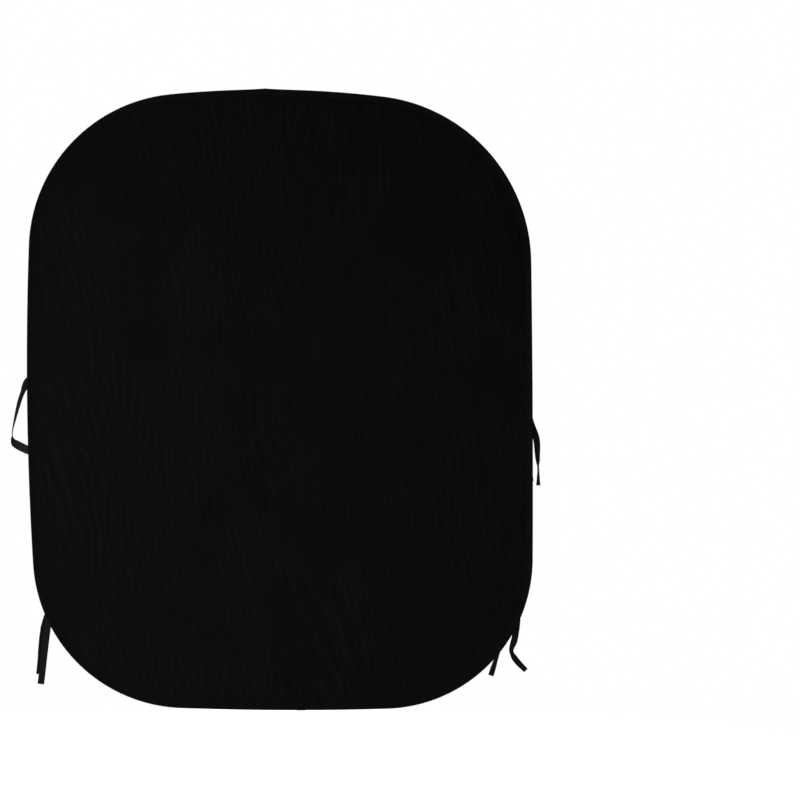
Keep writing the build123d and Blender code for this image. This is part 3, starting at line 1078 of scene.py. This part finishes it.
def bar_tacks():
    """Close zigzag stitches over each tie's fold."""
    rows = []
    for place in TIE_ALONG.values():
        along = place + np.arange(-TACK_REACH, TACK_REACH, TACK_PITCH)
        centres = from_rim(along, *binding_shape(along, TACK_INSET, TACK_Y))
        inward = rim(along)[1]
        lean = np.where(np.arange(len(along)) % 2, TACK_LEAN, -TACK_LEAN)[:, None]
        rows.append((centres, to_direction(unit(inward + clockwise(inward) * lean))))
    stitches("tie_tack_stitches", "tie_bar_tacks", rows, 1, TACK_STITCH, THREAD)


# Ties


def tail_rows(node, sign):
    """A tail's rows for ribbon, one for each level of its CAD solid."""
    points = np.array([vertex.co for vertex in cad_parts[node].data.vertices]) / MM
    rows = []
    for height, turn in TAIL_LEVELS[node]:
        z = PANEL_CENTRE_Z + height
        here = points[np.abs(points[:, 2] - z) < LEVEL_TOLERANCE]
        low, high = here.min(axis=0), here.max(axis=0)
        width, depth = (high - low)[:2]
        angle = math.radians(turn)
        wide = width if depth < FLAT_DEPTH else TAPE_WIDTH
        y = TAIL_FACE_Y + TAPE_THICKNESS / 2 + abs(math.sin(angle)) * wide / 2
        across = (sign * math.cos(angle), sign * math.sin(angle), 0)
        x = (low[0] + high[0]) / 2 + TAIL_SHIFTS.get(node, 0)
        rows.append((x, y, z, *across, wide, CUP_SHARE * (TAPE_WIDTH - wide)))
    return rows


def root_rows(edge, inward, layer, doubles_back, hang_x):
    """Rows from under the flange to where the tape first hangs straight down, at hang_x.

    Edge and inward are the rim's point and inward direction at the tie, and layer 1 is the tape
    that lies on the other.
    """
    outward = -np.sign(inward[0])
    across = to_direction(clockwise(inward))
    stack = layer * LAYER_PITCH
    stretch = [(inset, y + stack) for inset, y in ROOT_STRETCH]
    turn_y = 4.2 + stack
    if doubles_back:
        turn_y = 8.4 - 1.2 * layer
        wider = 2 * (1 - layer)
        stretch += [(28.5 + wider, 3.0 + stack), (30.5 + wider, 5.2), (28 + wider, turn_y)]
    rows = []
    for inset, y in stretch:
        rows.append((*to_row(edge + inward * inset, y), *across, FOLDED_WIDTH, 0.3))
    heading = outward if doubles_back else -outward
    hanging = np.array([1.0 if doubles_back else -1.0, 0, 0])
    level = edge[1] + inward[1] * BINDING_WIDTH
    for degrees in TURN_LEVELS:
        angle = math.radians(degrees)
        x = hang_x - heading * TURN_RADIUS * (1 - math.sin(angle))
        z = level - TURN_RADIUS * (1 - math.cos(angle)) + PANEL_CENTRE_Z
        y = turn_y + (HANG_Y + stack - turn_y) * degrees / 90
        direction = across * math.cos(angle) + hanging * math.sin(angle)
        rows.append((x, y, z, *direction, FOLDED_WIDTH - 1.5 * math.sin(angle), 0.5))
    return rows


def tie_tape(tie, layer, part, seed):
    """One of a tie's two tapes, from under the flange to its cut end."""
    edge, inward = rim(TIE_ALONG[tie])
    inwards = np.sign(inward[0])
    flange_x = edge[0] + inward[0] * BINDING_WIDTH
    node = f"tie_{tie}_{part}_tail"
    top_x, _, top_z = tail_rows(node, 1)[0][:3]
    overhang = (top_x - flange_x) * inwards
    doubles_back = bool(overhang < 0)
    hang_x = top_x if doubles_back else flange_x + inwards * max(overhang, TURN_RADIUS)
    tail = tail_rows(node, 1 if doubles_back else -1)[1:]
    rows = root_rows(edge, inward, layer, doubles_back, hang_x) + tail
    name = f"tie_{tie}_{part}_tape"
    tape, length = ribbon(
        name, rows, TAPE_WIDTH, TAPE_THICKNESS, spacing=2.2, seed=seed, flutter=0.28,
        material=TAPE,
    )
    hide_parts(node)
    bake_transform(tape)
    return tape


def ties():
    """Both tapes of every tie. The inner one also stands for the tie's sewn part."""
    for number, tie in enumerate(TIE_ROOTS):
        inner = tie_tape(tie, 0, "inner", 100 + 2 * number)
        tie_tape(tie, 1, "outer", 101 + 2 * number)
        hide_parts(f"tie_{tie}_anchor")


# Carry handle


def binding_under(points):
    """Depth of the binding's grey side under points near the panel's left edge."""
    flat = points[..., [0, 2]] - (0, PANEL_CENTRE_Z)
    inset = ARC_RADII[LEFT_SIDE] - np.linalg.norm(flat - ARC_CENTRES[LEFT_SIDE], axis=-1)
    return np.interp(inset, *section(OUTER_SECTION[::-1]), left=0)


def handle():
    """The webbing strap, sewn at both ends, its loop turning on a line beside the rim."""
    rows = []
    flat = np.array([row[:2] for row in STRAP_PATH], float)
    forward = unit(np.gradient(flat, axis=0))
    for (x, height, y, turn), (forward_x, forward_z) in zip(STRAP_PATH, forward):
        angle = math.radians(turn)
        across = (math.cos(angle) * -forward_z, math.sin(angle), math.cos(angle) * forward_x)
        rows.append((x, y, height + PANEL_CENTRE_Z, *across, STRAP_WIDTH, 0))
    strap, length = ribbon(
        "handle_strap", rows, STRAP_WIDTH, STRAP_THICKNESS, spacing=2.0, seed=140, flutter=0.12,
        material=WEBBING, ground=binding_under,
    )
    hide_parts("handle_loop", "handle_ends")
    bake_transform(strap)


def handle_boxes():
    """A box of stitches with a cross in it, through each sewn end of the strap."""
    rows = []
    for middle, slant, path in HANDLE_BOXES:
        path = np.array(sorted(path))
        turn = math.radians(slant)
        axes = np.array([[math.cos(turn), math.sin(turn)], [-math.sin(turn), math.cos(turn)]])
        box = [(-1, -1), (1, -1), (1, 1), (-1, 1), (-1, -1), (1, 1), (1, -1), (-1, 1)]
        box = np.array(box) * HANDLE_BOX_HALF_SIZES
        for start, end in zip(box, box[1:]):
            count = max(2, int(np.linalg.norm(end - start) / BOX_PITCH))
            shares = (np.arange(count) + 0.5) / count
            spots = (start + (end - start) * shares[:, None]) @ axes + middle
            y = np.interp(spots[:, 0], path[:, 0], path[:, 2]) + STRAP_THICKNESS / 2
            heading = to_direction(unit((end - start) @ axes))
            rows.append((to_row(spots, y), np.tile(heading, (count, 1))))
    stitches("handle_box_stitches", "handle_stitches", rows, 1, BOX_STITCH, THREAD)


# Hidden steel, kept from the model


def dress_steel():
    """Materials for the hoop and its splice, inside the binding."""
    for node, material in (
        ("hoop_band", SPRING_STEEL),
        ("splice_sleeve", SPLICE_STEEL),
        ("splice_rivets", SPLICE_STEEL),
        ("splice_wrap", WRAP),
    ):
        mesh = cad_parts[node].data
        mesh.materials.clear()
        mesh.materials.append(material)


# Studio


def aim(thing, target):
    """Turns a light or camera to look at a point."""
    direction = Vector(target) - thing.location
    thing.rotation_euler = direction.to_track_quat("-Z", "Y").to_euler()


def softbox(name, place, target, size, power):
    """A large soft light, aimed at a point."""
    light = bpy.data.lights.new(name, "AREA")
    light.shape = "RECTANGLE"
    light.size, light.size_y = size
    light.energy = power
    box = add_object(name, light)
    box.location = place
    aim(box, target)


def camera():
    """The camera, square on to the black face."""
    lens = bpy.data.cameras.new("camera")
    lens.sensor_width = SENSOR_WIDTH
    lens.lens = SENSOR_WIDTH * VIEW_DISTANCE / VIEW_WIDTH
    lens.clip_end = 100
    eye = add_object("camera", lens)
    x, height = VIEW_CENTRE
    eye.location = Vector((x, -VIEW_DISTANCE, PANEL_CENTRE_Z + height)) * MM
    aim(eye, eye.location + Vector((0, 1, 0)))
    bpy.context.scene.camera = eye


def floor():
    """A plain pale floor well below the panel."""
    shader = Shader("floor_paint")
    grain = shader.noise(shader.place, 300, detail=4)
    colour = shader.between(grain, (0.9, 0.9, 0.9, 1), (0.94, 0.94, 0.94, 1))
    shader.surface.inputs["Emission Color"].default_value = (1, 1, 1, 1)
    shader.surface.inputs["Emission Strength"].default_value = FLOOR_GLOW
    material = shader.finish(colour, grain, 0.2, 0.7, specular=0.1)
    edit = bmesh.new()
    bmesh.ops.create_circle(edit, cap_ends=True, segments=96, radius=FLOOR_RADIUS * MM)
    mesh = bpy.data.meshes.new("floor")
    edit.to_mesh(mesh)
    edit.free()
    mesh.materials.append(material)
    ground = add_object("floor", mesh)
    ground.location = (0, 0, cad_low[2] - FLOOR_DROP * MM)


def studio():
    """A white backdrop all round that lights softly, and four soft lights."""
    world = bpy.data.worlds.new("studio")
    world.use_nodes = True
    tree = world.node_tree
    fill, seen = tree.nodes["Background"], tree.nodes.new("ShaderNodeBackground")
    for background, strength in ((fill, FILL_STRENGTH), (seen, 1.0)):
        background.inputs["Color"].default_value = (1, 1, 1, 1)
        background.inputs["Strength"].default_value = strength
    choice = tree.nodes.new("ShaderNodeMixShader")
    path = tree.nodes.new("ShaderNodeLightPath")
    tree.links.new(path.outputs["Is Camera Ray"], choice.inputs[0])
    tree.links.new(fill.outputs[0], choice.inputs[1])
    tree.links.new(seen.outputs[0], choice.inputs[2])
    tree.links.new(choice.outputs[0], tree.nodes["World Output"].inputs["Surface"])
    bpy.context.scene.world = world
    bpy.context.scene.view_settings.view_transform = "Standard"
    middle = Vector((0, 0, PANEL_CENTRE_Z * MM))
    softbox("front_light", (-3.2, -3.4, -2.0), middle, (1.2, 1.2), 200)
    softbox("back_light", (-2.2, 4.2, -1.3), middle, (1.2, 1.2), 118)
    softbox("back_kicker", (-1.7, 1.0, -1.7), Vector((-0.5, 0, -1.45)), (0.8, 0.8), 6)
    softbox("top_light", (0, 0, 3.4), middle, (4, 4), 120)


camera()
studio()
floor()
dress_steel()
binding()
binding_lap()
seam("black", -1, DARK_THREAD)
seam("grey", 1, THREAD)
bar_tacks()
cloth("black", -1, 7, BLACK_FOLDS, edge_strength(3, 0.55, 0.8), 420, KNIT)
cloth("grey", 1, 17, GREY_FOLDS, edge_strength(5, 0.75, 1.8), 600, GREY)
ties()
handle()
handle_boxes()
